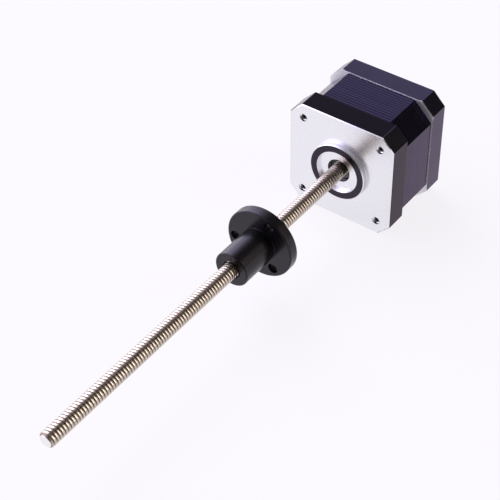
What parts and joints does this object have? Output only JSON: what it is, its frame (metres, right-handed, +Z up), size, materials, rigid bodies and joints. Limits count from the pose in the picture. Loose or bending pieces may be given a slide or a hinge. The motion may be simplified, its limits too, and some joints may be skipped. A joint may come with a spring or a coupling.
{
  "type": "lead screw stepper motor",
  "caption": "Square-frame stepper motor with a long threaded lead screw standing out of its turned front face, and a round flanged plastic nut that the screw drives along its length.",
  "frame": {"origin": "centre of the mounting face, on the screw axis", "axes": "+X along the lead screw, out of the motor; +Z up as the motor lies on one side; +Y completes the frame"},
  "size_m": [0.183, 0.0436, 0.042],
  "materials": {
    "cap_metal": "satin black coat, with the mounting face turned bright",
    "stator_steel": "dark coated laminations",
    "insulator_plastic": "natural moulded",
    "copper_winding": "enamelled copper wire",
    "screw_zinc": "zinc plated",
    "header_plastic": "natural moulded",
    "pin_tin": "tin plated",
    "board_laminate": "coated laminate",
    "bearing_steel": "ground",
    "cage_steel": "pressed sheet",
    "spring_steel": "rolled strip",
    "lead_screw_steel": "rolled stainless thread",
    "rotor_steel": "ground laminations",
    "magnet_metal": "plated",
    "spacer_brass": "turned",
    "nut_plastic": "satin moulded"
  },
  "bodies": {
    "motor": {"front_cap": "cap_metal", "rear_cap": "cap_metal", "stator_core": "stator_steel", "front_insulator": "insulator_plastic", "rear_insulator": "insulator_plastic", "coil_1": "copper_winding", "coil_2": "copper_winding", "coil_3": "copper_winding", "coil_4": "copper_winding", "coil_5": "copper_winding", "coil_6": "copper_winding", "coil_7": "copper_winding", "coil_8": "copper_winding", "case_screws": "screw_zinc", "connector_header": "header_plastic", "connector_pins": "pin_tin", "terminal_board": "board_laminate", "front_bearing_outer_ring": "bearing_steel", "rear_bearing_outer_ring": "bearing_steel", "wave_washer": "spring_steel"},
    "rotor": {"lead_screw": "lead_screw_steel", "front_rotor_cup": "rotor_steel", "rear_rotor_cup": "rotor_steel", "rotor_magnet": "magnet_metal", "front_spacer": "spacer_brass", "rear_spacer": "spacer_brass", "front_bearing_inner_ring": "bearing_steel", "rear_bearing_inner_ring": "bearing_steel"},
    "front_balls": {"front_bearing_balls": "bearing_steel", "front_bearing_cage": "cage_steel"},
    "rear_balls": {"rear_bearing_balls": "bearing_steel", "rear_bearing_cage": "cage_steel"},
    "nut": {"flange_nut": "nut_plastic"}
  },
  "joints": [
    {"name": "screw_spin", "type": "hinge", "parent": "motor", "child": "rotor", "pos_m": [0, 0, 0], "axis": [1, 0, 0], "range_deg": [-25560, 11880]},
    {"name": "nut_travel", "type": "slide", "parent": "motor", "child": "nut", "axis": [1, 0, 0], "range_m": [-0.04024, 0.08657]},
    {"name": "front_ball_spin", "type": "hinge", "parent": "motor", "child": "front_balls", "pos_m": [-0.004, 0, 0], "axis": [1, 0, 0], "range_deg": [-9374, 4358]},
    {"name": "rear_ball_spin", "type": "hinge", "parent": "motor", "child": "rear_balls", "pos_m": [-0.0278, 0, 0], "axis": [1, 0, 0], "range_deg": [-9374, 4358]}
  ],
  "couplings": [
    {"joint": "nut_travel", "follows": "screw_spin", "m_per_rad": -0.00019404},
    {"joint": "front_ball_spin", "follows": "screw_spin", "ratio": 0.36667},
    {"joint": "rear_ball_spin", "follows": "screw_spin", "ratio": 0.36667}
  ]
}
